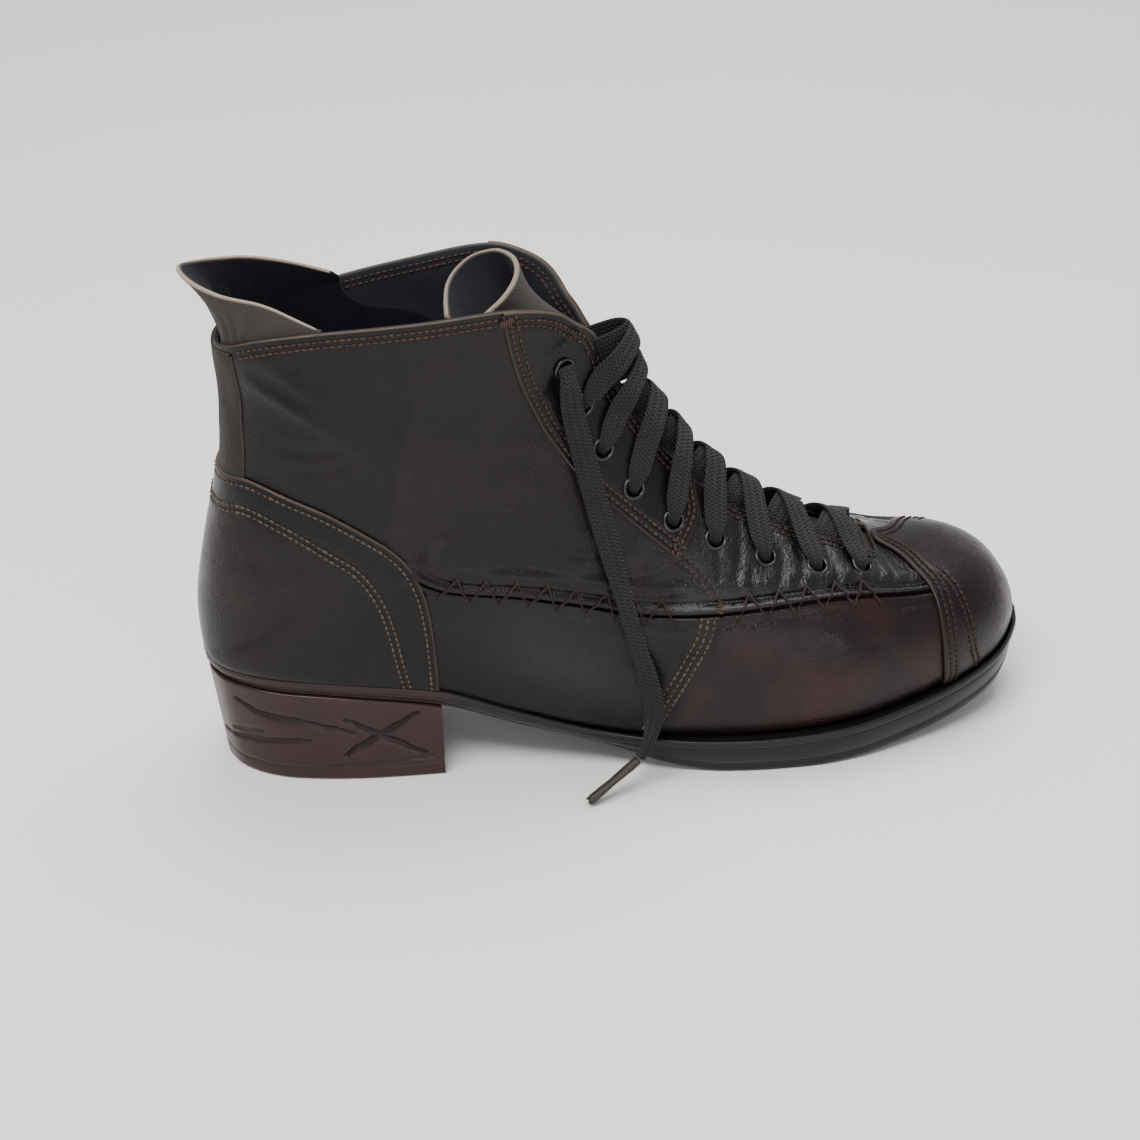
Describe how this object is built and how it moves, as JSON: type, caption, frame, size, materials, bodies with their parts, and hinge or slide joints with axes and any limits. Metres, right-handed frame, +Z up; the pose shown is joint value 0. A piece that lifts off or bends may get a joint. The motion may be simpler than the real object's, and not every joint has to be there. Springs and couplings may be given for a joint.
{
  "type": "lace-up boot",
  "caption": "Lace-up leather ankle boot for the right foot, with a stacked heel, a toe cap, an open collar with a flared back tab, flat laces and one loose lace end.",
  "frame": {"origin": "centre of the heel's ground face, on the floor", "axes": "+Z up, +X from the heel towards the toe, the lateral side towards -Y"},
  "size_m": [0.31, 0.1094, 0.1955],
  "materials": {
    "upper_leather": "burnished, creased, satin",
    "cap_leather": "burnished, semi-gloss",
    "suede": "napped, matt",
    "lining": "matt",
    "sole_rubber": "satin",
    "heel_stack": "waxed, semi-gloss",
    "eyelet_metal": "dark, semi-gloss",
    "lace": "woven, matt",
    "aglet": "worn, matt"
  },
  "bodies": {
    "root": {"welt": "sole_rubber", "outsole": "sole_rubber", "heel": "heel_stack", "insole": "lining", "eyelet_lateral_1": "eyelet_metal", "eyelet_lateral_2": "eyelet_metal", "eyelet_lateral_3": "eyelet_metal", "eyelet_lateral_4": "eyelet_metal", "eyelet_lateral_5": "eyelet_metal", "eyelet_lateral_6": "eyelet_metal", "eyelet_lateral_7": "eyelet_metal", "eyelet_lateral_8": "eyelet_metal", "eyelet_lateral_9": "eyelet_metal", "eyelet_medial_1": "eyelet_metal", "eyelet_medial_2": "eyelet_metal", "eyelet_medial_3": "eyelet_metal", "eyelet_medial_4": "eyelet_metal", "eyelet_medial_5": "eyelet_metal", "eyelet_medial_6": "eyelet_metal", "eyelet_medial_7": "eyelet_metal", "eyelet_medial_8": "eyelet_metal", "eyelet_medial_9": "eyelet_metal", "upper": "upper_leather", "toe_cap": "cap_leather", "counter": "upper_leather", "backstay": "suede", "tongue": "suede", "back_tab": "suede", "lace_cross_1": "lace", "lace_cross_2": "lace", "lace_cross_3": "lace", "lace_cross_4": "lace", "lace_cross_5": "lace", "lace_cross_6": "lace", "lace_cross_7": "lace", "lace_cross_8": "lace", "lace_end": "lace", "aglet": "aglet"}
  },
  "joints": []
}
